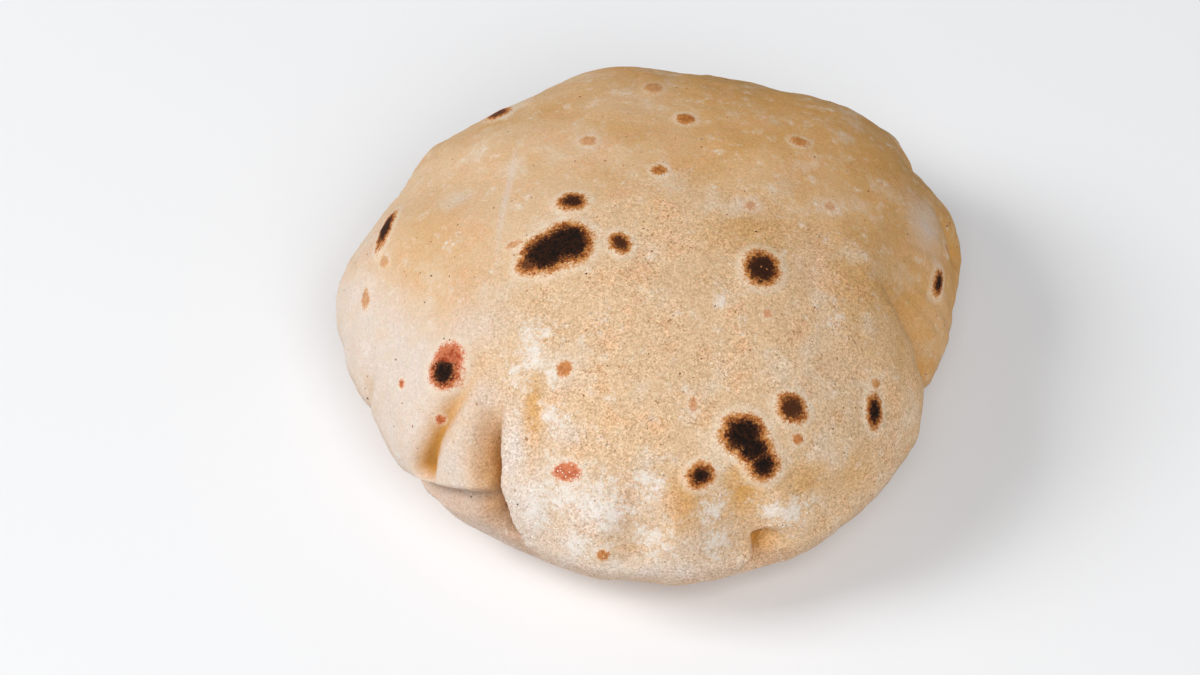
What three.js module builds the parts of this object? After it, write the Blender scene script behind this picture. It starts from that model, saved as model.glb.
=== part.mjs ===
// Puffed roti: a thin round of wholemeal dough that ballooned on the griddle
// into one closed cushion. A domed upper sheet and a shallow lower sheet meet
// at a seam round the rim. Pleats run in from the rim, puffy lobes stand
// between them, and the bread rests on a flat patch under its middle.
// Millimetres, +Z up, origin under the middle of the bread on the table.

import * as THREE from 'three';
import { mergeVertices } from 'three/addons/utils/BufferGeometryUtils.js';

const DOME_HEIGHT = 68;     // top of the dome above the table
const SEAM_HEIGHT = 23;     // where the upper and lower sheets meet
const DOME_FULLNESS = 0.92; // below 1 squares the shoulders of the dome
const FOOT_SHARE = 0.42;    // flat patch underneath, as a share of the rim radius
const FOOT_START = 0.62;    // how far round the lower sheet the flat patch begins

// Radius of the rim every 20 degrees, anticlockwise from +X.
const RIM_RADII = [
  82.5, 90.5, 91, 83.5, 81.5, 82.5, 78.5, 79, 77.5,
  82, 78, 80, 79, 82.5, 83.5, 84, 82, 82,
];

// Each pleat is a valley. Its azimuth is where it meets the rim, in degrees.
// near and far are the widths of its clockwise and anticlockwise walls.
// reach is how far it runs up the dome, as a share of the way to the top.
// drift swings its upper end round, in degrees.
// seam is the share of the depth that is left where it crosses the rim.
// softness is 1 for a crease between two lobes and 2 for a rounded hollow.
// A pleat with a negative depth is a bulge.
const PLEATS = [
  { azimuth: 335, depth: 14, near: 4.5, far: 13, reach: 0.52, drift: 15, seam: 0.8, softness: 1 },
  { azimuth: 289, depth: 4, near: 9, far: 7, reach: 0.5, drift: -5, seam: 0.1, softness: 2 },
  { azimuth: 267, depth: 2.5, near: 7, far: 6, reach: 0.5, drift: 4, seam: 0.2, softness: 2 },
  { azimuth: 245, depth: 13, near: 5.5, far: 4.5, reach: 0.52, drift: -14, seam: 0, softness: 1.5 },
  { azimuth: 223.5, depth: 4, near: 3.5, far: 3.5, reach: 0.6, drift: 1, seam: 0, softness: 1.5 },
  { azimuth: 150, depth: 3, near: 6, far: 6, reach: 0.24, drift: 0, seam: 1, softness: 1 },
  { azimuth: 118, depth: 7, near: 9, far: 9, reach: 0.45, drift: 0, seam: 1, softness: 1 },
  { azimuth: 97, depth: 5, near: 6, far: 6, reach: 0.2, drift: 0, seam: 1, softness: 1 },
  { azimuth: 76, depth: 4, near: 6, far: 5, reach: 0.2, drift: 0, seam: 1, softness: 1 },
  { azimuth: 28.5, depth: 5.5, near: 5, far: 7, reach: 0.4, drift: 0, seam: 1, softness: 1 },
  { azimuth: 12, depth: 3.5, near: 6, far: 6, reach: 0.45, drift: 8, seam: 0, softness: 1 },
  { azimuth: 262, depth: -1.3, near: 8, far: 7, reach: 0.15, drift: 0, seam: 1, softness: 2 },
];
const VALLEY_ROUNDING = 1.2; // keeps the bottom of a valley from being a knife line
const PLEAT_SPAN = 1.2;      // radians either side of a pleat that it can act on

// Here the upper sheet sits back from the seam and leaves a bare ledge. It
// draws back between start and full, and the front lobe closes over it at end,
// on a line that leans by endSlant degrees for each degree of latitude. The
// ledge is at the seam at the level azimuth and climbs a degree per degree.
const LEDGE = { start: 213, full: 222, end: 247.5, endSlant: -0.45, level: 235, depth: 4.5 };

// A sharp tuck across the seam, between the two front lobes.
const TUCK = { azimuth: 289.2, slant: 0.25, depth: 4, near: 3.5, far: 4.4 };

const GRID = 30;             // facet rows along each edge of the starting cube
const RIM_CROWDING = 0.35;   // draws the facet rows closer together at the rim
const PLEAT_CROWDING = 0.45; // draws them closer together along the pleats
const CROWDING_ANGLE = 8;    // degrees either side of a pleat that they come from

const QUARTER_TURN = Math.PI / 2;

// Radius of the rim at any azimuth, as a smooth closed curve.
function rimRadius(azimuth) {
  const count = RIM_RADII.length;
  const along = (((azimuth / (2 * Math.PI)) * count) % count + count) % count;
  const at = Math.floor(along);
  const t = along - at;
  const [a, b, c, d] = [-1, 0, 1, 2].map((step) => RIM_RADII[(at + step + count) % count]);
  const linear = (c - a) * t;
  const square = (2 * a - 5 * b + 4 * c - d) * t * t;
  const cube = (3 * b - a - 3 * c + d) * t * t * t;
  return (2 * b + linear + square + cube) / 2;
}

// The unpleated cushion. Latitude is 0 at the seam, a quarter turn at the top
// of the dome and minus a quarter turn at the middle of the foot.
function cushionPoint(azimuth, latitude) {
  const rim = rimRadius(azimuth);
  const foot = FOOT_SHARE * rim;
  let radius;
  let height;
  if (latitude >= 0) {
    radius = rim * Math.max(Math.cos(latitude), 0) ** DOME_FULLNESS;
    height = SEAM_HEIGHT + (DOME_HEIGHT - SEAM_HEIGHT) * Math.sin(latitude);
  } else {
    const under = -latitude / QUARTER_TURN;
    const turn = Math.min(under / FOOT_START, 1) * QUARTER_TURN;
    radius = under < FOOT_START
      ? foot + (rim - foot) * Math.cos(turn)
      : foot * (1 - under) / (1 - FOOT_START);
    height = under < FOOT_START ? SEAM_HEIGHT * (1 - Math.sin(turn)) : 0;
  }
  return new THREE.Vector3(radius * Math.cos(azimuth), radius * Math.sin(azimuth), height);
}

// Outward direction of the unpleated cushion.
function cushionNormal(azimuth, latitude) {
  const step = 0.001;
  const safe = THREE.MathUtils.clamp(latitude, 4 * step - QUARTER_TURN, QUARTER_TURN - 4 * step);
  const around = cushionPoint(azimuth + step, safe).sub(cushionPoint(azimuth - step, safe));
  const upward = cushionPoint(azimuth, safe + step).sub(cushionPoint(azimuth, safe - step));
  return around.cross(upward).normalize();
}

// Signed angle from one azimuth to another, between minus and plus half a turn.
function turnBetween(from, to) {
  const turn = (to - from + Math.PI) % (2 * Math.PI);
  return (turn < 0 ? turn + 2 * Math.PI : turn) - Math.PI;
}

// Azimuth of a pleat's valley line, at a share of the way from the top to the rim.
function pleatAzimuth(pleat, toRim) {
  return THREE.MathUtils.degToRad(pleat.azimuth + 2 * pleat.drift * (1 - toRim));
}

// How strongly the skin is set back above the ledge, from 0 to 1.
function ledgeStrength(azimuth, latitude) {
  const level = THREE.MathUtils.radToDeg(latitude);
  const around = (THREE.MathUtils.radToDeg(azimuth) + 360) % 360;
  const pastEnd = around - LEDGE.end - LEDGE.endSlant * level;
  const aboveLedge = level - (around - LEDGE.level);
  return THREE.MathUtils.smoothstep(around, LEDGE.start, LEDGE.full)
    * (1 - THREE.MathUtils.smoothstep(pastEnd, -3, 3))
    * (1 - THREE.MathUtils.smoothstep(aboveLedge, 5, 15))
    * THREE.MathUtils.smoothstep(aboveLedge, -4, 5);
}

// Azimuth of the tuck's line at a latitude.
function tuckAzimuth(latitude) {
  return THREE.MathUtils.degToRad(TUCK.azimuth) + TUCK.slant * latitude;
}

// How strongly the skin is drawn in by the tuck, from 0 to 1.
function tuckStrength(azimuth, latitude, radius) {
  const level = THREE.MathUtils.radToDeg(latitude);
  const distance = radius * turnBetween(tuckAzimuth(latitude), azimuth);
  const width = distance < 0 ? TUCK.near : TUCK.far;
  return Math.exp(-Math.abs(distance) / width)
    * (1 - THREE.MathUtils.smoothstep(level, 5, 11))
    * THREE.MathUtils.smoothstep(level, -11, -5);
}

// A point of the finished skin: the cushion, drawn in along every pleat and
// set back above the ledge.
function skinPoint(azimuth, latitude) {
  const point = cushionPoint(azimuth, latitude);
  const under = Math.max(-latitude, 0) / QUARTER_TURN;
  if (under > FOOT_START) {
    return point;
  }
  const radius = Math.hypot(point.x, point.y);
  const toRim = 1 - Math.max(latitude, 0) / QUARTER_TURN;
  const fadeUnder = 1 - THREE.MathUtils.smoothstep(under, 0.12, 0.5);
  let inward = 0;
  for (const pleat of PLEATS) {
    const away = turnBetween(pleatAzimuth(pleat, toRim), azimuth);
    if (Math.abs(away) > PLEAT_SPAN) {
      continue;
    }
    const distance = radius * away;
    const rise = THREE.MathUtils.smoothstep(toRim, 1 - pleat.reach, 1 - 0.3 * pleat.reach);
    const atSeam = 1 - (1 - pleat.seam) * THREE.MathUtils.smoothstep(toRim, 0.93, 1);
    const strength = rise * atSeam * fadeUnder;
    const width = distance < 0 ? pleat.near : pleat.far;
    const rounded = Math.hypot(distance, VALLEY_ROUNDING) - VALLEY_ROUNDING;
    inward += pleat.depth * strength * Math.exp(-((rounded / width) ** pleat.softness));
  }
  const recess = LEDGE.depth * ledgeStrength(azimuth, latitude);
  inward = recess > 0 ? Math.hypot(inward, recess) : inward;
  inward += TUCK.depth * tuckStrength(azimuth, latitude, radius);
  point.addScaledVector(cushionNormal(azimuth, latitude), -inward);
  point.z = Math.max(point.z, 0);
  return point;
}

// Facet corners gather along the pleats, where the skin turns sharply.
function gatheredAzimuth(azimuth, latitude) {
  const toRim = 1 - Math.abs(latitude) / QUARTER_TURN;
  const reachAngle = THREE.MathUtils.degToRad(CROWDING_ANGLE);
  const creases = PLEATS.map((pleat) => pleatAzimuth(pleat, toRim));
  creases.push(tuckAzimuth(latitude));
  let pull = 0;
  for (const crease of creases) {
    const away = turnBetween(crease, azimuth);
    const strength = PLEAT_CROWDING * THREE.MathUtils.smoothstep(toRim, 0.4, 0.7);
    pull += strength * away * Math.exp(-((away / reachAngle) ** 2));
  }
  return azimuth - pull;
}

// A cube's facets, blown up to a sphere and then laid on the skin, so that no
// fan of thin facets gathers at the top or under the foot.
function skinGeometry() {
  const cube = new THREE.BoxGeometry(2, 2, 2, GRID, GRID, GRID);
  cube.deleteAttribute('uv');
  cube.deleteAttribute('normal');
  const geometry = mergeVertices(cube, 1e-5);
  const position = geometry.getAttribute('position');
  for (let i = 0; i < position.count; i += 1) {
    const direction = new THREE.Vector3().fromBufferAttribute(position, i);
    direction.set(
      Math.tan(direction.x * Math.PI / 4),
      Math.tan(direction.y * Math.PI / 4),
      Math.tan(direction.z * Math.PI / 4),
    );
    direction.normalize();
    const azimuth = Math.atan2(direction.y, direction.x);
    const even = Math.asin(THREE.MathUtils.clamp(direction.z, -1, 1)) / QUARTER_TURN;
    const crowded = even * (1 - RIM_CROWDING + RIM_CROWDING * even * even);
    const latitude = crowded * QUARTER_TURN;
    const point = skinPoint(gatheredAzimuth(azimuth, latitude), latitude);
    position.setXYZ(i, point.x, point.y, point.z);
  }
  geometry.computeBoundingBox();
  const middle = geometry.boundingBox.getCenter(new THREE.Vector3());
  geometry.translate(-middle.x, -middle.y, 0);
  geometry.computeVertexNormals();
  return geometry;
}

const crust = new THREE.MeshStandardMaterial({ color: 0xd4b28c, roughness: 0.85, metalness: 0 });

const roti = new THREE.Mesh(skinGeometry(), crust);
roti.name = 'puffed_roti';

const group = new THREE.Group();
group.name = 'roti';
group.add(roti);

export default group;
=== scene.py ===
import math

import bpy
import numpy as np
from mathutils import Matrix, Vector


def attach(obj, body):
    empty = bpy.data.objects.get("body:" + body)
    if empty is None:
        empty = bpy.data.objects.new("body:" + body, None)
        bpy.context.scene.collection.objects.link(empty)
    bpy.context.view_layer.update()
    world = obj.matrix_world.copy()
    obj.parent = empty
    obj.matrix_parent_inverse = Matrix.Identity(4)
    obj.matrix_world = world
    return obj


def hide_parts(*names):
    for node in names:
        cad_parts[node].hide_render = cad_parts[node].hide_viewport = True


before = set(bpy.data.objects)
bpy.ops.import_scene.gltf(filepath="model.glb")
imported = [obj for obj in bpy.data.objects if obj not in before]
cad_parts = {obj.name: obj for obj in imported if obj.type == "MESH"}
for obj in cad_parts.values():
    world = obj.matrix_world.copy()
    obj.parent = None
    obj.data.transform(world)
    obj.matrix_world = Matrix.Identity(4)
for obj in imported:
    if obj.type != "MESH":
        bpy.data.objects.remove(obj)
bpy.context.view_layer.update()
scene = bpy.context.scene
scene.view_settings.view_transform = "Standard"

# The viewpoint: square on to the broad front lobe and half down on the dome,
# from far enough off that the far rim isn't pinched.
CAMERA_ELEVATION = math.radians(50)
CAMERA_DISTANCE = 0.9
CAMERA_AIM = Vector((-0.01367, -0.00079, 0.018))
CAMERA_LENS = 101     # millimetres, on a sensor 36 mm wide
SENSOR_WIDTH = 36

camera_data = bpy.data.cameras.new("camera")
camera_data.lens = CAMERA_LENS
camera_data.sensor_width = SENSOR_WIDTH
camera = bpy.data.objects.new("camera", camera_data)
scene.collection.objects.link(camera)
backward = Vector((0, -math.cos(CAMERA_ELEVATION), math.sin(CAMERA_ELEVATION)))
camera.location = CAMERA_AIM + backward * CAMERA_DISTANCE
camera.rotation_euler = (math.pi / 2 - CAMERA_ELEVATION, 0, 0)
scene.camera = camera

# ---------------------------------------------------------------------------
# The bread. One thin round of wholemeal dough that steam has blown into a
# cushion: a domed upper sheet, a shallow lower sheet, a seam between them,
# and pleats where the rim was too long for the puffed shape. Lengths in mm.

DOME_HEIGHT = 68.0     # top of the dome above the table
SEAM_HEIGHT = 23.0     # where the upper and lower sheets meet
DOME_FULLNESS = 0.92   # below 1 squares the shoulders of the dome
FOOT_SHARE = 0.42      # flat patch underneath, as a share of the rim radius
FOOT_START = 0.62      # how far round the lower sheet the flat patch begins
QUARTER_TURN = math.pi / 2

# Radius of the rim every 20 degrees, anticlockwise from +X.
RIM_RADII = [
    82.5, 90.5, 91, 83.5, 81.5, 82.5, 78.5, 79, 77.5,
    82, 78, 80, 79, 82.5, 83.5, 84, 82, 82,
]

# azimuth, depth, near width, far width, reach up the dome, drift, lean, share at
# the seam, and softness: 1 for a crease between lobes, 2 for a rounded hollow.
# A pleat with a negative depth is a bulge.
PLEATS = [
    (335, 16, 3.0, 13, 0.52, 15, -4, 0.8, 1),
    (245.5, 14, 4.4, 1.8, 0.52, -14, 3, 0.0, 2),
    (223.5, 4.2, 2.2, 2.0, 0.60, 1, 0, 0.0, 1.5),
    (289, 4.5, 9, 7, 0.50, -5, 0, 0.1, 2),
    (267, 2.5, 7, 6, 0.50, 4, 0, 0.2, 2),
    (252, 1.2, 4, 3, 0.40, 0, 0, 0.2, 2),
    (201.5, 1.8, 2.5, 3, 0.22, 0, 0, 0.8, 1),
    (150, 3, 6, 6, 0.24, 0, 0, 1, 1),
    (118, 7, 9, 9, 0.45, 0, 0, 1, 1),
    (97, 5, 6, 6, 0.18, 0, 0, 1, 1),
    (76, 4, 6, 5, 0.18, 0, 0, 1, 1),
    (28.5, 5.5, 5, 7, 0.40, 0, 0, 1, 1),
    (12, 3.5, 6, 6, 0.45, 8, 0, 0, 1),
    (262, -1.3, 8, 7, 0.15, 0, 0, 1, 2),
]
VALLEY_ROUNDING = 0.6   # keeps the bottom of a valley from being a knife line
PLEAT_SPAN = 1.2        # radians either side of a pleat that it can act on
PLEAT_SEAM = 0.93       # share of the way to the rim where its share at the seam starts
PLEAT_UNDER = (0.12, 0.5)   # shares of the way under between which it dies out
TOAST_AND_SHADE_SPREAD = 18       # depth at which the crease colour, toast with painted shade, is twice as wide as the near wall
LEDGE_START = (213, 222)   # azimuths where the upper sheet draws back from the seam
LEDGE_END = 247.5          # where the front lobe closes over the ledge again
LEDGE_END_SLANT = -0.45
LEDGE_LEVEL = 235          # the ledge climbs a degree for each degree round from here
LEDGE_DEPTH = 5.5
LEDGE_CLOSING = 1.7        # half the angle over which it closes at its end
LEDGE_STEP = (0, 4)        # degrees above the ledge over which the sheet steps back
LEDGE_TOP = (13, 5)        # degrees above it where the step dies out into the dome
LEDGE_SHADE = (-17, -2)    # degrees from its end over which the painted shade on the ledge deepens
TUCK_AZIMUTH = 289.2       # a sharp tuck across the seam, between the two front lobes
TUCK_SLANT = 0.25
TUCK_DEPTH = 5.5
TUCK_WIDTHS = (0.9, 4.4)
TUCK_HEIGHT = (11, 5)      # degrees above and below the seam where it dies out
TUCK_SPAN = 30             # millimetres either side of it that it can act on


def smooth_step(low, high, value):
    t = np.clip((value - low) / (high - low), 0, 1)
    return t * t * (3 - 2 * t)


def turn_between(start, end):
    """Signed angle from start to end, between minus and plus half a turn."""
    return (end - start + math.pi) % (2 * math.pi) - math.pi


def rim_radius(azimuth):
    """The rim as a smooth closed curve through RIM_RADII."""
    radii = np.array(RIM_RADII, float)
    along = azimuth / (2 * math.pi) * len(radii) % len(radii)
    at = np.floor(along).astype(int)
    t = along - at
    a, b, c, d = (radii[(at + step) % len(radii)] for step in (-1, 0, 1, 2))
    square = (2 * a - 5 * b + 4 * c - d) * t * t
    cube = (3 * b - a - 3 * c + d) * t * t * t
    return (2 * b + (c - a) * t + square + cube) / 2


def cushion(azimuth, latitude):
    """The unpleated shape. Latitude is 0 at the seam and a quarter turn at the top."""
    rim = rim_radius(azimuth)
    foot = FOOT_SHARE * rim
    above = np.clip(latitude, 0, QUARTER_TURN)
    under = -latitude / QUARTER_TURN
    turn = np.clip(under / FOOT_START, 0, 1) * QUARTER_TURN
    on_foot = foot * np.clip((1 - under) / (1 - FOOT_START), 0, 1)
    below = np.where(under < FOOT_START, foot + (rim - foot) * np.cos(turn), on_foot)
    radius = np.where(latitude >= 0, rim * np.cos(above) ** DOME_FULLNESS, below)
    dome = SEAM_HEIGHT + (DOME_HEIGHT - SEAM_HEIGHT) * np.sin(above)
    height = np.where(latitude >= 0, dome, SEAM_HEIGHT * (1 - np.sin(turn)))
    return np.stack([radius * np.cos(azimuth), radius * np.sin(azimuth), height], -1)


def cushion_normal(azimuth, latitude):
    step = 0.001
    safe = np.clip(latitude, 4 * step - QUARTER_TURN, QUARTER_TURN - 4 * step)
    around = cushion(azimuth + step, safe) - cushion(azimuth - step, safe)
    upward = cushion(azimuth, safe + step) - cushion(azimuth, safe - step)
    normal = np.cross(around, upward)
    return normal / np.linalg.norm(normal, axis=1, keepdims=True)


def pleat_azimuth(pleat, to_rim):
    return np.radians(pleat[0] + 2 * pleat[5] * (1 - to_rim))


def pleated_skin(azimuth, latitude):
    """Points of the skin, how deep each lies in a fold, and how much painted shade lies on the ledge."""
    points = cushion(azimuth, latitude)
    under = np.clip(-latitude, 0, None) / QUARTER_TURN
    radius = np.hypot(points[:, 0], points[:, 1])
    to_rim = 1 - np.clip(latitude, 0, None) / QUARTER_TURN
    fade_under = 1 - smooth_step(*PLEAT_UNDER, under)
    inward = np.zeros(len(points))
    sideways = np.zeros(len(points))
    fold = np.zeros(len(points))
    for pleat in PLEATS:
        _, depth, near, far, reach, _, lean, at_seam, softness = pleat
        away = turn_between(pleat_azimuth(pleat, to_rim), azimuth)
        distance = radius * away
        strength = smooth_step(1 - reach, 1 - 0.3 * reach, to_rim) * fade_under
        strength = strength * (1 - (1 - at_seam) * smooth_step(PLEAT_SEAM, 1, to_rim))
        strength = strength * (np.abs(away) < PLEAT_SPAN)
        rounded = np.hypot(distance, VALLEY_ROUNDING) - VALLEY_ROUNDING
        valley = strength * np.exp(-((rounded / np.where(distance < 0, near, far)) ** softness))
        inward += depth * valley
        # the crease colour, toast with painted shade, is weighted by how steep the fold is and runs wider
        # on the near wall of deep pleats
        steepness = min(depth / (near + far), 1)
        toast_and_shade_width = np.where(distance < 0, near * (1 + max(depth, 0) / TOAST_AND_SHADE_SPREAD), far)
        fold += steepness * strength * np.exp(-((rounded / toast_and_shade_width) ** softness))
        if lean:
            on_wall = np.clip(distance / far if lean > 0 else -distance / near, 0, None)
            sideways -= lean * strength * on_wall * np.exp(1 - on_wall)
    level = np.degrees(latitude)
    around = np.degrees(azimuth) % 360
    past_end = around - LEDGE_END - LEDGE_END_SLANT * level
    above_ledge = level - (around - LEDGE_LEVEL)
    ledge = smooth_step(*LEDGE_START, around) * smooth_step(LEDGE_CLOSING, -LEDGE_CLOSING, past_end)
    ledge = ledge * smooth_step(*LEDGE_TOP, above_ledge)
    recess = ledge * smooth_step(*LEDGE_STEP, above_ledge)
    # painted shade on the ledge, heaviest towards the lobe that closes over it
    ledge = ledge * (0.45 + 0.55 * smooth_step(*LEDGE_SHADE, past_end))
    inward = np.where(recess > 0, np.hypot(inward, LEDGE_DEPTH * recess), inward)
    tuck_line = np.radians(TUCK_AZIMUTH + TUCK_SLANT * level)
    from_tuck = radius * turn_between(tuck_line, azimuth)
    tuck = np.exp(-np.abs(from_tuck) / np.where(from_tuck < 0, *TUCK_WIDTHS))
    tuck = tuck * smooth_step(*TUCK_HEIGHT, level) * smooth_step(*TUCK_HEIGHT, -level)
    tuck = tuck * (np.abs(from_tuck) < TUCK_SPAN)
    inward += TUCK_DEPTH * tuck
    # the tuck takes the crease colour too, as painted shade in its notch
    fold += tuck
    points = points - cushion_normal(azimuth, latitude) * inward[:, None]
    points[:, 0] -= sideways * np.sin(azimuth)
    points[:, 1] += sideways * np.cos(azimuth)
    points[:, 2] = np.where(under > FOOT_START, 0, np.maximum(points[:, 2], 0))
    return points, fold, ledge


GATHER_ANGLE = math.radians(8)   # how far either side of a crease the mesh comes from
GATHER_SHARE = 0.45


def gathered_azimuth(azimuth, latitude):
    """Mesh rows drawn together along the pleats, where the skin turns sharply."""
    to_rim = 1 - np.abs(latitude) / QUARTER_TURN
    pull = np.zeros(len(azimuth))
    creases = [pleat_azimuth(pleat, to_rim) for pleat in PLEATS[:3]]
    creases.append(np.radians(TUCK_AZIMUTH + TUCK_SLANT * np.degrees(latitude)))
    for crease in creases:
        away = turn_between(crease, azimuth)
        pull += away * np.exp(-(away / GATHER_ANGLE) ** 2)
    return azimuth - GATHER_SHARE * pull * smooth_step(0.4, 0.7, to_rim)


# A cube's grid blown up to a sphere gives even facets with no pole, and its
# six sides unroll flat side by side.
GRID = 128
SIDE_MARGIN = 0.01   # gap round each unrolled side, as a share of its width
CUBE_SIDES = [
    # outward, first edge, second edge, unrolled with a quarter turn
    ((1, 0, 0), (0, 1, 0), (0, 0, 1), True),
    ((-1, 0, 0), (0, 0, 1), (0, 1, 0), False),
    ((0, 1, 0), (0, 0, 1), (1, 0, 0), False),
    ((0, -1, 0), (1, 0, 0), (0, 0, 1), True),
    ((0, 0, 1), (1, 0, 0), (0, 1, 0), False),
    ((0, 0, -1), (0, 1, 0), (1, 0, 0), False),
]


def blown_cube(grid):
    """Unit directions, quads and each quad corner's place on the unrolled sides."""
    edge = np.tan(np.linspace(-math.pi / 4, math.pi / 4, grid + 1))
    share = np.linspace(0, 1, grid + 1)
    corners, quads, places = [], [], []
    for side, (outward, first, second, turned) in enumerate(CUBE_SIDES):
        a, b = np.meshgrid(edge, edge, indexing="ij")
        spots = np.array(outward) + a[..., None] * np.array(first) + b[..., None] * np.array(second)
        corners.append(spots.reshape(-1, 3))
        index = np.arange((grid + 1) ** 2).reshape(grid + 1, grid + 1) + side * (grid + 1) ** 2
        around = [index[:-1, :-1], index[1:, :-1], index[1:, 1:], index[:-1, 1:]]
        quads.append(np.stack([ring.ravel() for ring in around], 1))
        s, t = np.meshgrid(share, share, indexing="ij")
        u, v = (1 - t, s) if turned else (s, t)
        u = (side % 3 + SIDE_MARGIN + (1 - 2 * SIDE_MARGIN) * u) / 3
        v = (side // 3 + SIDE_MARGIN + (1 - 2 * SIDE_MARGIN) * v) / 2
        places.append(np.stack([u.ravel(), v.ravel()], 1))
    corners, quads, places = map(np.concatenate, (corners, quads, places))
    _, first_seen, merged = np.unique(
        np.round(corners, 6), axis=0, return_index=True, return_inverse=True
    )
    merged = merged.ravel()
    directions = corners[first_seen]
    directions /= np.linalg.norm(directions, axis=1, keepdims=True)
    return directions, merged[quads], places[quads]


def skin_normals(points, quads):
    across = points[quads[:, 2]] - points[quads[:, 0]]
    along = points[quads[:, 3]] - points[quads[:, 1]]
    facing = np.cross(across, along)
    normals = np.zeros_like(points)
    for corner in range(4):
        np.add.at(normals, quads[:, corner], facing)
    return normals / np.maximum(np.linalg.norm(normals, axis=1, keepdims=True), 1e-9)


def lumps(points, size, seed):
    """Smooth random height, about -2 to 2, with bumps about size across."""
    rng = np.random.default_rng(seed)
    waves = rng.normal(size=(48, 3))
    waves /= np.linalg.norm(waves, axis=1, keepdims=True)
    waves *= (2 * math.pi / (2 * size)) * rng.uniform(0.6, 1.4, (48, 1))
    return np.cos(points @ waves.T + rng.uniform(0, 2 * math.pi, 48)).sum(1) / math.sqrt(24)


directions, quads, corner_places = blown_cube(GRID)
azimuth = np.arctan2(directions[:, 1], directions[:, 0])
latitude = np.arcsin(np.clip(directions[:, 2], -1, 1))
azimuth = gathered_azimuth(azimuth, latitude)
to_rim = 1 - np.abs(latitude) / QUARTER_TURN
points, fold, ledge = pleated_skin(azimuth, latitude)
middle = (points.min(0) + points.max(0)) / 2
points[:, :2] -= middle[:2]
normals = skin_normals(points, quads)

# Griddle marks. The dough blisters, and the thin top of each blister scorches.
# Plan position, width across, width along the slope, tilt, heat and redness.
UPPER_MARKS = [
    (-21.5, -10.5, 12, 12.5, 20, 1.0, 0.0),
    (-27, -13, 12, 11, 15, 1.0, 0.0),
    (-31.5, -15.5, 6, 5, 20, 0.7, 0.1),
    (-35.5, -8, 3.4, 1.6, 20, 0.15, 0.3),
    (-21, 3, 6.7, 5.2, 0, 0.8, 0.0),
    (-8.5, -11.5, 4.7, 6.3, 20, 0.75, 0.0),
    (27.2, -17.0, 8.6, 9.7, 0, 0.8, 0.0),
    (1.5, 13.5, 3.4, 3.2, 0, 0.45, 0.0),
    (9, 36, 4.2, 4, 0, 0.4, 0.0),
    (1, 52, 4, 5.5, 0, 0.2, 0.0),
    (39, 29.5, 4, 3.3, 0, 0.3, 0.0),
    (-16.5, 26.5, 3.4, 3.2, 0, 0.2, 0.0),
    (-69.5, 11, 4.4, 13, -20, 0.8, 0.1),
    (-41, 49, 6, 6.5, 20, 0.7, 0.1),
    (-51.6, -37.2, 7.6, 8.4, -20, 0.5, 1.0),
    (-52.6, -39.4, 8.0, 7.4, 0, 0.9, 0.7),
    (-64.2, -36.2, 1.9, 1.7, 0, 0.4, 0.8),
    (-54.0, -47.2, 1.9, 1.9, 0, 0.4, 0.8),
    (-22.5, -45.0, 3.4, 3.2, 0, 0.32, 0.2),
    (-21.5, -67.3, 6, 3.7, 0, 0.35, 1.0),
    (-13, -80.5, 2.5, 2.6, 0, 0.35, 0.1),
    (11, -69, 6.4, 5.6, 20, 0.95, 0.0),
    (21.8, -60.3, 10.4, 9.4, 0, 1.0, 0.0),
    (24.2, -63.0, 9.4, 7.5, -30, 1.0, 0.0),
    (26.6, -65.6, 7.4, 7.0, 0, 1.0, 0.0),
    (34, -53, 7.2, 6.5, -20, 0.74, 0.0),
    (35.5, -59, 2.3, 1.9, 0, 0.35, 0.3),
    (55.5, -46, 4.6, 7.8, 0, 0.9, 0.0),
    (56.5, -39.5, 1.9, 1.8, 0, 0.25, 0.0),
    (75, 2, 3.9, 6.6, -20, 0.85, 0.0),
    (78.5, 16, 3, 2.4, 0, 0.25, 0.2),
    (9.5, -54.5, 1.7, 3.2, 0, 0.15, 0.3),
    (-75, -8, 2.5, 4.6, 0, 0.2, 0.0),
    (-70, -1, 2.2, 2.8, 0, 0.15, 0.0),
    (25, 3, 2.6, 2.6, 0, 0.1, 0.2),
    (46, 7.5, 2.4, 2.6, 0, 0.1, 0.0),
    (28.5, -30.5, 1.7, 1.8, 0, 0.15, 0.6),
    (66, 55, 5, 7, 30, 0.85, 0.0),
    (-58, 52, 5, 6, -30, 0.7, 0.0),
    (24, 74, 6, 6, 0, 0.9, 0.0),
    (-18, 74, 4, 5, 0, 0.6, 0.0),
    (44, 66, 3, 4, 0, 0.4, 0.2),
]
UNDER_MARKS = [
    (-52, 12, 14, 9, 30, 1.0, 0.0),
    (18, 56, 11, 8, 0, 1.0, 0.0),
    (54, -22, 9, 12, 0, 0.9, 0.0),
    (12, -60, 8, 6, 0, 0.8, 0.1),
    (-34, -56, 7, 5, 20, 0.7, 0.0),
    (-30, 58, 6, 6, 0, 0.8, 0.0),
    (62, 30, 6, 7, 0, 0.8, 0.0),
    (40, -58, 4, 4, 0, 0.4, 0.2),
    (-64, -22, 4, 5, 0, 0.5, 0.2),
    (-4, 8, 22, 15, 20, 1.0, 0.0),
    (20, -18, 12, 10, 0, 0.9, 0.0),
    (-22, -20, 9, 12, 0, 0.8, 0.0),
    (24, 20, 8, 7, 0, 0.7, 0.0),
    (0, 74, 5, 3, 0, 0.6, 0.0),
    (-70, 34, 4, 4, 0, 0.5, 0.0),
]
BLISTER_HEIGHT = 0.10   # height of a blister as a share of its mark's width
WIDEST_BLISTER = 8      # width past which a blister rises no higher
BLISTER_REACH = 1.45    # how far past its mark's edge a blister runs
MARK_REACH = 1.06       # where a mark ends, as a share of its listed size


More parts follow.
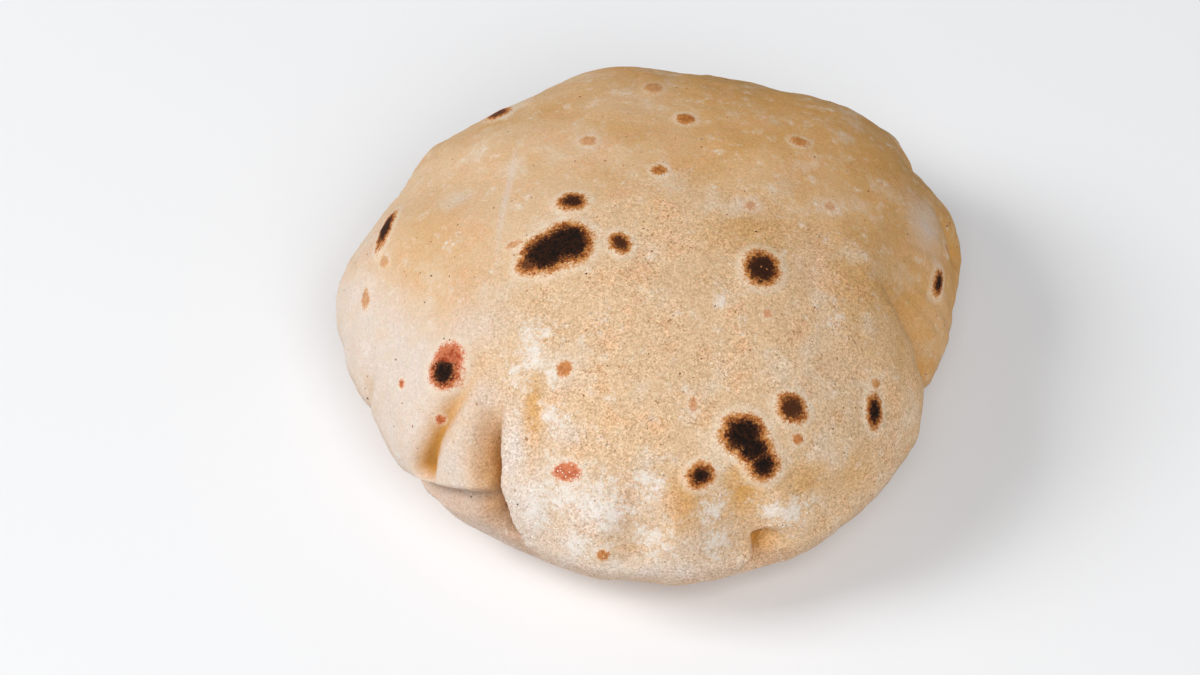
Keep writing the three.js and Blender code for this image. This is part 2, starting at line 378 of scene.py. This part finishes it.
def patch_distance(x, y, across, along, tilt, upper):
    """Distance from a patch's middle as a share of its edge, for every point of the skin."""
    sheet = latitude > 0 if upper else latitude <= 0
    plan = np.hypot(points[:, 0] - x, points[:, 1] - y) + np.where(sheet, 0, 1e3)
    at = int(np.argmin(plan))
    facing = normals[at]
    right = np.array([1.0, 0, 0]) - facing[0] * facing
    right /= np.linalg.norm(right)
    up = np.cross(facing, right)
    turn = math.radians(tilt)
    long_way = right * math.cos(turn) + up * math.sin(turn)
    short_way = np.cross(facing, long_way)
    offset = points - points[at]
    share = np.hypot(offset @ long_way / (across / 2), offset @ short_way / (along / 2))
    behind = np.abs(offset @ facing) > max(12, across)
    return np.where(behind | (normals @ facing < 0), 99, share)


mark_edge = np.full(len(points), 9.0)   # how far outside the nearest mark's edge
mark_pull = mark_edge.copy()            # the same, counting a hot mark as nearer inside
mark_heat = np.zeros(len(points))
mark_red = np.zeros(len(points))
blister = np.zeros(len(points))
for marks, upper in ((UPPER_MARKS, True), (UNDER_MARKS, False)):
    for x, y, across, along, tilt, heat, red in marks:
        share = patch_distance(x, y, across, along, tilt, upper)
        radius = math.sqrt(across * along) / 2
        edge = (share - MARK_REACH) * math.sqrt(3.5 * radius)
        hottest = np.where(edge < 0, edge * heat, edge)
        nearest = hottest < mark_pull
        mark_pull = np.where(nearest, hottest, mark_pull)
        mark_edge = np.where(nearest, edge, mark_edge)
        mark_heat = np.where(nearest, heat, mark_heat)
        mark_red = np.where(nearest, red, mark_red)
        height = BLISTER_HEIGHT * min(math.sqrt(across * along), WIDEST_BLISTER) * (0.4 + 0.6 * heat)
        blister = np.maximum(blister, height * np.exp(-(share / BLISTER_REACH) ** 4))

# The skin is never quite smooth: broad lumps, small ones, and fine wrinkles
# that run in to the pleats.
WRINKLE_RADIUS = 80
WRINKLE_STRETCH = 0.12   # below 1 draws the wrinkles out up and down the slope
near_rim = smooth_step(0.35, 0.85, to_rim)
wrinkle_space = np.stack([
    WRINKLE_RADIUS * np.cos(azimuth), WRINKLE_RADIUS * np.sin(azimuth),
    latitude * WRINKLE_RADIUS * WRINKLE_STRETCH,
], -1)
relief = lumps(points, 17, 1) * (0.28 + 0.12 * near_rim)
relief += lumps(points, 6.5, 2) * (0.05 + 0.10 * near_rim)
relief += lumps(points, 2.6, 3) * 0.03
relief += lumps(wrinkle_space, 2.2, 4) * 0.14 * near_rim * (0.4 + np.minimum(fold * 3, 1))
relief = (relief + blister) * smooth_step(1, 7, points[:, 2])
points += normals * relief[:, None]
points[:, 2] = np.maximum(points[:, 2], 0)

# Loose flour lies in patches, the lobes that stood clear of the griddle stayed
# pale, the hollows between the puffs toasted, and streaks down the creases are
# toasted and darkened with painted shade. Plan position, width across, width
# along the slope and strength.
FLOUR_PATCHES = [
    (-31, -39, 8, 11, 1.0),
    (-34.5, -44, 5, 10, 0.8),
    (-25.5, -55.5, 8, 7, 0.9),
    (-25.5, -45.5, 4, 8, 0.7),
    (-14, -34, 8, 6, 0.5),
    (-13, -75, 11, 14, 0.9),
    (-1.5, -70, 8, 12, 0.7),
    (-1, -78.5, 10, 8, 0.9),
    (14, -73, 7.5, 9, 0.75),
    (16, -77, 10, 8, 0.8),
    (32.5, -72, 12, 8, 0.85),
    (7, -56.5, 6, 4, 0.5),
    (-16.5, -79, 14, 8, 0.7),
    (-23, -70, 13, 14, 0.9),
    (-30, -71, 7, 14, 0.9),
    (-51.5, -4, 7, 6, 0.5),
    (17, -28, 5, 4, 0.5),
    (45.5, -28.5, 7, 5, 0.5),
    (40.5, -58, 12, 8, 0.35),
    (-16, -59, 5, 6.5, 0.5),
    (-13, -37, 10, 4, 0.4),
]
PALE_PATCHES = [
    (-67, -42, 22, 18, 1.0),
    (-76, -28, 16, 20, 0.9),
    (-80, -10, 14, 26, 0.8),
    (-76, 14, 14, 30, 0.5),
    (-4, -83, 44, 10, 0.9),
    (-48.5, -57, 8, 15, 1.0),
    (-43, -47.5, 11, 11, 0.9),
    (-58.5, -51, 12, 9, 0.9),
    (-34.5, -60, 4.5, 18, 1.0),
    (-32, -66, 6, 16, 0.9),
    (-28, -74, 12, 12, 0.8),
    (-46, -31, 20, 14, 0.6),
    (-22.5, -44.5, 9, 8, 0.5),
    (-12, -76, 30, 16, 0.7),
    (14, -78, 30, 10, 0.5),
    (73, 15, 12, 14, 0.9),
    (25, 3, 7, 5, 0.5),
    (46, 7.5, 6, 5, 0.5),
    (-16.5, 27, 8, 6, 0.4),
    (34, 12, 5, 5, 0.4),
    (38, -12, 6, 5, 0.4),
    (-50, 12, 6, 5, 0.4),
    (-22, -60, 8, 6, 0.6),
    (-23, -46, 8, 10, 0.5),
    (40.5, -13, 12, 16, 0.25),
]
TOAST_AND_SHADE_PATCHES = [
    (-30.5, -56, 3.5, 15, 0.4),
    (-31, -64, 3, 9, 0.3),
    (7, -73.5, 7, 12, 0.3),
    (21.5, -68, 6, 13, 0.35),
    (-7.5, -75, 4, 9, 0.25),
    (-49, -47.5, 2.6, 6, 0.4),
    (-52, -50, 3, 6, 0.5),
]
HAIRLINE = (-37.5, 8.5, 1.6, 38, -8)   # a dry line in the skin, with its tilt
TOASTED_PATCHES = [
    (7, -74, 8, 12, 1.0),
    (22, -69, 7, 13, 1.0),
    (38, -66, 14, 9, 0.6),
    (50, -59.5, 13, 13, 0.5),
    (-30.5, -55, 4, 17, 0.9),
    (-58, -2, 22, 40, 0.35),
    (72, -15, 12, 22, 1.0),
    (63, -27, 5, 18, 0.6),
    (35, 34, 36, 24, 0.6),
    (57, 13.5, 14, 20, 0.5),
    (-7.5, -75, 5, 10, 0.9),
]


def patches(listed, softness):
    field = np.zeros(len(points))
    for x, y, across, along, strength in listed:
        share = patch_distance(x, y, across, along, 0, True)
        field = np.maximum(field, strength * np.exp(-((share / softness) ** 2)))
    return field


PALE_SIDE = (53, 68)     # how far out to the left front the rim turns pale
GRIT_MIDDLE = (14, -50)  # where the grit was rubbed in hardest
GRIT_REACH = (76, 44)    # how far from there it thins out, and is still full
hairline = 0.7 * np.exp(-(patch_distance(*HAIRLINE, True) ** 2))
to_left_front = smooth_step(*PALE_SIDE, -0.8 * points[:, 0] - 0.6 * points[:, 1])
from_grit = np.hypot(points[:, 0] - GRIT_MIDDLE[0], points[:, 1] - GRIT_MIDDLE[1])
fields = {
    "mark_edge": mark_edge,
    "mark_heat": mark_heat,
    "mark_red": mark_red,
    "flour": patches(FLOUR_PATCHES, 1.25),
    "pale": np.maximum.reduce([patches(PALE_PATCHES, 1.1), hairline, 0.9 * to_left_front]),
    "toasted": patches(TOASTED_PATCHES, 1.1),
    # crease colour: toast with painted shade
    "fold": np.clip(np.maximum(1.1 * fold, patches(TOAST_AND_SHADE_PATCHES, 1.2)), 0, 1),
    # painted shade on the ledge under the front lobe
    "ledge": ledge * smooth_step(-12, 2, np.degrees(latitude)),
    # painted shade round the seam, under the bulge of the rim
    "seam": smooth_step(3, -4, np.degrees(latitude)),
    # paler lower sheet, partly painted bounce light from the table
    "under": smooth_step(-8, -18, np.degrees(latitude)),
    "gritty": 0.3 + 0.7 * smooth_step(*GRIT_REACH, from_grit),
}

roti_mesh = bpy.data.meshes.new("roti_crust")
roti_mesh.from_pydata((points / 1000).tolist(), [], quads.tolist())
roti_mesh.shade_smooth()
for name, values in fields.items():
    layer = roti_mesh.attributes.new(name, "FLOAT", "POINT")
    layer.data.foreach_set("value", values.astype(np.float32))
unrolled = roti_mesh.uv_layers.new(name="OFBake")
unrolled.data.foreach_set("uv", corner_places.reshape(-1).astype(np.float32))
roti_mesh.validate()
roti = bpy.data.objects.new("roti_crust", roti_mesh)
scene.collection.objects.link(roti)


def node(tree, kind, values=None, **settings):
    made = tree.nodes.new(kind)
    for name, value in settings.items():
        setattr(made, name, value)
    for socket, value in (values or {}).items():
        if isinstance(value, bpy.types.NodeSocket):
            tree.links.new(value, made.inputs[socket])
        else:
            made.inputs[socket].default_value = value
    return made


def srgb(red, green, blue):
    """A paint-chip colour, 0 to 255, as the light it sends back."""
    chip = np.array([red, green, blue]) / 255
    light = np.where(chip <= 0.04045, chip / 12.92, ((chip + 0.055) / 1.055) ** 2.4)
    return (*light.tolist(), 1)


def blend(tree, share, under, over, mode="MIX"):
    made = node(tree, "ShaderNodeMix", data_type="RGBA", blend_type=mode)
    for socket, value in ((0, share), (6, under), (7, over)):
        if isinstance(value, bpy.types.NodeSocket):
            tree.links.new(value, made.inputs[socket])
        else:
            made.inputs[socket].default_value = value
    return made.outputs[2]


def math_of(tree, operation, first, second=0.0, third=0.0):
    made = node(tree, "ShaderNodeMath", {0: first, 1: second, 2: third}, operation=operation)
    return made.outputs[0]


def ramp(tree, value, low, high, to_low=0.0, to_high=1.0):
    made = node(
        tree, "ShaderNodeMapRange",
        {"Value": value, "From Min": low, "From Max": high, "To Min": to_low, "To Max": to_high},
        interpolation_type="SMOOTHSTEP",
    )
    return made.outputs[0]


def noise(tree, place, size_mm, detail=2.0, roughness=0.5, w=0.0):
    values = {"Vector": place, "Scale": 1000 / size_mm, "Detail": detail, "Roughness": roughness, "W": w}
    return node(tree, "ShaderNodeTexNoise", values, noise_dimensions="4D").outputs[0]


def field(tree, name):
    return node(tree, "ShaderNodeAttribute", attribute_name=name).outputs["Fac"]


crust = bpy.data.materials.new("baked_crust")
crust.use_nodes = True
tree = crust.node_tree
tree.nodes.clear()
place = node(tree, "ShaderNodeTexCoord").outputs["Object"]
grain = noise(tree, place, 0.5, 2.0, 0.7)
coarse_grain = noise(tree, place, 1.1, 2.0, 0.6, 3.0)
clump = noise(tree, place, 3.2, 3.0, 0.6, 5.0)
mottle = noise(tree, place, 8, 4.0, 0.6, 1.0)
cream_mottle = noise(tree, place, 12, 4.0, 0.6, 9.0)
broad = noise(tree, place, 28, 2.0, 0.5, 2.0)
position = node(tree, "ShaderNodeSeparateXYZ", {0: place})

# dough: tan, toasted golden in broad drifts, creamy and peachy in small ones
to_back = math_of(tree, "MULTIPLY_ADD", position.outputs["Y"], 8.0, broad)
to_corner = math_of(tree, "MULTIPLY_ADD", position.outputs["X"], 5.0, to_back)
golden = math_of(tree, "MAXIMUM", ramp(tree, to_corner, 0.38, 1.1), field(tree, "toasted"))
golden = math_of(tree, "MULTIPLY", golden, ramp(tree, mottle, 0.25, 0.6, 0.7, 1.0))
colour = blend(tree, golden, srgb(215, 182, 145), srgb(207, 154, 85))
olive = math_of(tree, "MULTIPLY", golden, ramp(tree, broad, 0.46, 0.62, 0.0, 0.5))
colour = blend(tree, olive, colour, srgb(188, 144, 84))
colour = blend(tree, ramp(tree, mottle, 0.50, 0.68, 0.0, 0.5), colour, srgb(219, 168, 124))
colour = blend(tree, ramp(tree, cream_mottle, 0.50, 0.70, 0.0, 0.5), colour, srgb(222, 204, 182))
colour = blend(tree, ramp(tree, clump, 0.52, 0.70, 0.0, 0.25), colour, srgb(230, 212, 190))
pale = math_of(tree, "MULTIPLY", field(tree, "pale"), ramp(tree, mottle, 0.30, 0.62, 0.65, 1.0))
colour = blend(tree, math_of(tree, "MULTIPLY", pale, 0.85), colour, srgb(215, 205, 198))
# creases: toasted golden brown, with painted shade in them
colour = blend(tree, field(tree, "fold"), colour, srgb(206, 149, 72))
# painted shade: the deepest creases darkened to brown
deepest_crease_shade = math_of(tree, "MULTIPLY", ramp(tree, field(tree, "fold"), 0.6, 1.0), 0.2)
colour = blend(tree, deepest_crease_shade, colour, srgb(120, 80, 44))
# painted shade on the ledge under the front lobe
colour = blend(tree, math_of(tree, "MULTIPLY", field(tree, "ledge"), 0.75), colour, srgb(168, 130, 98))
# painted shade round the seam, under the bulge of the rim
colour = blend(tree, math_of(tree, "MULTIPLY", field(tree, "seam"), 0.35), colour, srgb(176, 146, 126))
# the lower sheet paler and pinker: partly its own colour, partly painted bounce light from the table
colour = blend(tree, math_of(tree, "MULTIPLY", field(tree, "under"), 0.8), colour, srgb(226, 198, 176))

# bran and grit: fine light and dark grain, coarsest where the flour rubbed in
grains = node(tree, "ShaderNodeTexVoronoi", {"Vector": place, "Scale": 1000 / 0.6, "Randomness": 1.0})
each_grain = node(tree, "ShaderNodeSeparateColor", {0: grains.outputs["Color"]})
gritty = math_of(tree, "MULTIPLY", field(tree, "gritty"), ramp(tree, mottle, 0.35, 0.65, 0.75, 1.25))
grit = math_of(tree, "MULTIPLY_ADD", each_grain.outputs[0], 1.1, ramp(tree, grain, 0.3, 0.7, -1.0, 1.0))
grit = math_of(tree, "SUBTRACT", grit, 0.55)
coarse = math_of(tree, "MULTIPLY", ramp(tree, coarse_grain, 0.3, 0.7, -1.0, 1.0), 0.35)
grit = math_of(tree, "MULTIPLY", math_of(tree, "ADD", grit, coarse), gritty)
lightened = math_of(tree, "MULTIPLY_ADD", grit, 0.25, 1.0)
grain_colour = node(tree, "ShaderNodeCombineColor", {
    0: math_of(tree, "MULTIPLY_ADD", grit, 0.21, 1.0), 1: lightened,
    2: math_of(tree, "MULTIPLY_ADD", grit, 0.31, 1.0),
}).outputs[0]
colour = blend(tree, 1.0, colour, grain_colour, "MULTIPLY")
dark_bran = ramp(tree, math_of(tree, "MULTIPLY", each_grain.outputs[1], coarse_grain), 0.52, 0.60)
dark_bran = math_of(tree, "MULTIPLY", dark_bran, math_of(tree, "MULTIPLY", gritty, 0.7))
colour = blend(tree, dark_bran, colour, srgb(150, 104, 62))

# flour: granular, thick in its patches and a thin scatter elsewhere
flour_amount = math_of(tree, "MULTIPLY_ADD", field(tree, "flour"), 0.42, clump)
flour_amount = math_of(tree, "MULTIPLY_ADD", coarse_grain, 0.35, flour_amount)
flour_amount = math_of(tree, "MULTIPLY_ADD", each_grain.outputs[2], 0.16, flour_amount)
flour_cover = ramp(tree, flour_amount, 0.84, 1.24)
colour = blend(tree, math_of(tree, "MULTIPLY", flour_cover, 0.8), colour, srgb(233, 226, 218))

# scorching: pale halo, orange-brown ring, brown, then near-black in the middle
edge = field(tree, "mark_edge")
heat = field(tree, "mark_heat")
red = field(tree, "mark_red")
ragged = math_of(tree, "MULTIPLY_ADD", ramp(tree, grain, 0.25, 0.75, -1.0, 1.0), 0.5, edge)
ragged = math_of(tree, "MULTIPLY_ADD", each_grain.outputs[0], 0.9, math_of(tree, "SUBTRACT", ragged, 0.45))
ragged = math_of(tree, "MULTIPLY_ADD", ramp(tree, clump, 0.25, 0.75, -1.0, 1.0), 0.4, ragged)
halo = math_of(tree, "MULTIPLY", ramp(tree, edge, 3.4, 0.5), ramp(tree, heat, 0.0, 0.6, 0.2, 0.5))
colour = blend(tree, halo, colour, srgb(232, 218, 198))
scorch = blend(tree, red, srgb(204, 138, 66), srgb(214, 128, 82))
warm = math_of(tree, "MULTIPLY", ramp(tree, ragged, 1.5, -0.3), ramp(tree, heat, 0.0, 0.4, 0.4, 0.95))
colour = blend(tree, warm, colour, scorch)
deep = blend(tree, red, srgb(146, 74, 22), srgb(160, 58, 26))
speckled = ramp(tree, coarse_grain, 0.4, 0.6, 0.3, 1.0)
deeper = math_of(tree, "MULTIPLY", ramp(tree, ragged, 0.8, -0.6), ramp(tree, heat, 0.15, 0.6, 0.3, 1.0))
colour = blend(tree, math_of(tree, "MULTIPLY", deeper, speckled), colour, deep)
brown = math_of(tree, "MULTIPLY", ramp(tree, ragged, -0.2, -1.5), ramp(tree, heat, 0.4, 0.8))
colour = blend(tree, brown, colour, srgb(84, 42, 16))
black = math_of(tree, "MULTIPLY", ramp(tree, ragged, -0.7, -2.3), ramp(tree, heat, 0.6, 0.9))
crusted = ramp(tree, each_grain.outputs[1], 0.1, 0.95, 1.0, 0.7)
colour = blend(tree, math_of(tree, "MULTIPLY", black, crusted), colour, srgb(16, 7, 3))

height = math_of(tree, "MULTIPLY_ADD", coarse_grain, 1.0, math_of(tree, "MULTIPLY", grain, 0.6))
height = math_of(tree, "MULTIPLY_ADD", flour_cover, 0.5, height)
bump = node(tree, "ShaderNodeBump", {"Height": height, "Distance": 0.00022, "Strength": 0.8})
roughness = ramp(tree, black, 0.0, 1.0, 0.82, 0.95)
shader = node(tree, "ShaderNodeBsdfPrincipled", {
    "Base Color": colour, "Roughness": roughness, "Normal": bump.outputs[0],
    "Subsurface Weight": 0.15, "Subsurface Scale": 0.004, "Specular IOR Level": 0.22,
})
node(tree, "ShaderNodeOutputMaterial", {"Surface": shader.outputs[0]})
roti_mesh.materials.append(crust)

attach(roti, "root")
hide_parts("puffed_roti")

# ---------------------------------------------------------------------------
# What clings to the crust: grains of loose flour in the dusted patches, flakes
# of bran all over, and a few crumbs of char. Each is pressed into the skin.


def scatter_tree(name):
    """Pressed-in grains over a mesh: even spacing, thinned by a field of the mesh."""
    made = bpy.data.node_groups.new(name, "GeometryNodeTree")
    ports = {}
    for label, kind in (
        ("Skin", "Geometry"), ("Per square metre", "Float"), ("Field", "String"),
        ("Least field", "Float"), ("Smallest", "Float"), ("Largest", "Float"),
        ("Stretch", "Vector"), ("Seed", "Int"), ("Finish", "Material"),
    ):
        socket = made.interface.new_socket(label, in_out="INPUT", socket_type="NodeSocket" + kind)
        ports[label] = socket.identifier
    made.interface.new_socket("Grains", in_out="OUTPUT", socket_type="NodeSocketGeometry")
    given = made.nodes.new("NodeGroupInput").outputs
    amount = node(made, "GeometryNodeInputNamedAttribute", {"Name": given["Field"]}, data_type="FLOAT")
    above = node(made, "ShaderNodeMapRange", {
        "Value": amount.outputs[0], "From Min": given["Least field"], "From Max": 1.0,
    })
    density = math_of(made, "MULTIPLY", above.outputs[0], given["Per square metre"])
    sown = node(made, "GeometryNodeDistributePointsOnFaces", {
        "Mesh": given["Skin"], "Density": density, "Seed": given["Seed"],
    })
    turn = node(made, "FunctionNodeRandomValue", {
        "Min": (0, 0, 0), "Max": (0, 0, 2 * math.pi), "Seed": given["Seed"],
    }, data_type="FLOAT_VECTOR")
    laid = node(made, "FunctionNodeRotateRotation", {
        0: sown.outputs["Rotation"], 1: turn.outputs["Value"],
    }, rotation_space="LOCAL")
    size = node(made, "FunctionNodeRandomValue", {
        2: given["Smallest"], 3: given["Largest"], "Seed": given["Seed"],
    }, data_type="FLOAT")
    shaped = node(made, "ShaderNodeVectorMath", {
        0: given["Stretch"], "Scale": size.outputs[1],
    }, operation="SCALE")
    grain_shape = node(made, "GeometryNodeMeshIcoSphere", {"Radius": 0.5, "Subdivisions": 1})
    set_out = node(made, "GeometryNodeInstanceOnPoints", {
        "Points": sown.outputs["Points"], "Instance": grain_shape.outputs[0],
        "Rotation": laid.outputs[0], "Scale": shaped.outputs[0],
    })
    real = node(made, "GeometryNodeRealizeInstances", {0: set_out.outputs[0]})
    finished = node(made, "GeometryNodeSetMaterial", {
        "Geometry": real.outputs[0], "Material": given["Finish"],
    })
    node(made, "NodeGroupOutput", {0: finished.outputs[0]})
    return made, ports


def plain_finish(name, colour_a, colour_b, roughness):
    """A matt grain whose colour drifts between two shades from grain to grain."""
    made = bpy.data.materials.new(name)
    made.use_nodes = True
    shades = made.node_tree
    shades.nodes.clear()
    spot = node(shades, "ShaderNodeTexCoord").outputs["Object"]
    mixed = blend(shades, ramp(shades, noise(shades, spot, 1.7, 1.0), 0.35, 0.65), colour_a, colour_b)
    surface = node(shades, "ShaderNodeBsdfPrincipled", {
        "Base Color": mixed, "Roughness": roughness, "Specular IOR Level": 0.2,
    })
    node(shades, "ShaderNodeOutputMaterial", {"Surface": surface.outputs[0]})
    return made


GRAIN_ROUGHNESS = 0.9
SCATTERS = [
    # name, grains per square metre, field and the least of it that holds a grain,
    # smallest and largest in metres, stretch, seed, and two shades
    ("flour_grains", 1.1e6, "flour", 0.25, 0.00018, 0.00055, (1, 0.9, 0.5), 3,
     srgb(244, 239, 231), srgb(232, 222, 206)),
    ("bran_flakes", 9e3, "everywhere", 0.0, 0.0003, 0.0009, (1, 0.5, 0.16), 5,
     srgb(168, 116, 70), srgb(120, 78, 44)),
    ("char_crumbs", 9e2, "everywhere", 0.0, 0.0004, 0.0009, (1, 0.75, 0.3), 8,
     srgb(38, 24, 16), srgb(62, 38, 22)),
]
everywhere = roti_mesh.attributes.new("everywhere", "FLOAT", "POINT")
everywhere.data.foreach_set("value", smooth_step(1, 5, points[:, 2]).astype(np.float32))
sowing, ports = scatter_tree("sown_grains")
for name, density, listed, least, smallest, largest, stretch, seed, shade_a, shade_b in SCATTERS:
    bed = bpy.data.objects.new("bed", roti_mesh)
    scene.collection.objects.link(bed)
    modifier = bed.modifiers.new("sown", "NODES")
    modifier.node_group = sowing
    settings = {
        "Per square metre": density, "Field": listed, "Least field": least, "Smallest": smallest,
        "Largest": largest, "Stretch": stretch, "Seed": seed,
        "Finish": plain_finish(name + "_finish", shade_a, shade_b, GRAIN_ROUGHNESS),
    }
    for label, value in settings.items():
        modifier[ports[label]] = value
    evaluated = bed.evaluated_get(bpy.context.evaluated_depsgraph_get())
    grains_mesh = bpy.data.meshes.new_from_object(evaluated)
    grains_mesh.name = name
    bpy.data.objects.remove(bed)
    scattered = bpy.data.objects.new(name, grains_mesh)
    scene.collection.objects.link(scattered)
    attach(scattered, "root")

# ---------------------------------------------------------------------------
# The table: one plain pale round sheet, a hair under the bread.
FLOOR_RADIUS = 1.5
FLOOR_CORNERS = 180
FLOOR_DROP = 0.0001
PAPER_WHITE = (0.87, 0.88, 0.895, 1)
floor_mesh = bpy.data.meshes.new("floor")
round_the_floor = np.arange(FLOOR_CORNERS) * 2 * math.pi / FLOOR_CORNERS
floor_mesh.from_pydata(
    [
        (FLOOR_RADIUS * math.cos(turn), FLOOR_RADIUS * math.sin(turn), -FLOOR_DROP)
        for turn in round_the_floor
    ],
    [], [list(range(FLOOR_CORNERS))],
)
floor = bpy.data.objects.new("floor", floor_mesh)
scene.collection.objects.link(floor)
paper = bpy.data.materials.new("white_paper")
paper.use_nodes = True
paper_shader = paper.node_tree.nodes["Principled BSDF"]
paper_shader.inputs["Base Color"].default_value = PAPER_WHITE
paper_shader.inputs["Roughness"].default_value = 0.9
paper_shader.inputs["Specular IOR Level"].default_value = 0.1
floor_mesh.materials.append(paper)

# The studio: a large soft lamp on the left, a wider one high in front, and an
# even white room, which looks brighter than it lights so the far edge stays pale.
ROOM_FILL = 0.25
ROOM_SEEN = 0.88
LAMPS = [
    # name, place and size in metres, strength in watts
    ("key_lamp", (-2.1, -0.1, 1.75), 1.2, 46),
    ("front_lamp", (0.35, -1.6, 1.9), 1.8, 37),
]
for name, at, size, strength in LAMPS:
    lamp_data = bpy.data.lights.new(name, "AREA")
    lamp_data.size = size
    lamp_data.energy = strength
    lamp = bpy.data.objects.new(name, lamp_data)
    lamp.location = at
    lamp.rotation_mode = "QUATERNION"
    lamp.rotation_quaternion = (-Vector(at)).to_track_quat("-Z", "Y")
    scene.collection.objects.link(lamp)

room = bpy.data.worlds.new("white_room")
scene.world = room
room.use_nodes = True
room_tree = room.node_tree
room_tree.nodes.clear()
fill = node(room_tree, "ShaderNodeBackground", {"Color": (1, 1, 1, 1), "Strength": ROOM_FILL})
seen = node(room_tree, "ShaderNodeBackground", {"Color": (1, 1, 1, 1), "Strength": ROOM_SEEN})
path = node(room_tree, "ShaderNodeLightPath")
mixed = node(room_tree, "ShaderNodeMixShader", {
    0: path.outputs["Is Camera Ray"], 1: fill.outputs[0], 2: seen.outputs[0],
})
node(room_tree, "ShaderNodeOutputWorld", {"Surface": mixed.outputs[0]})
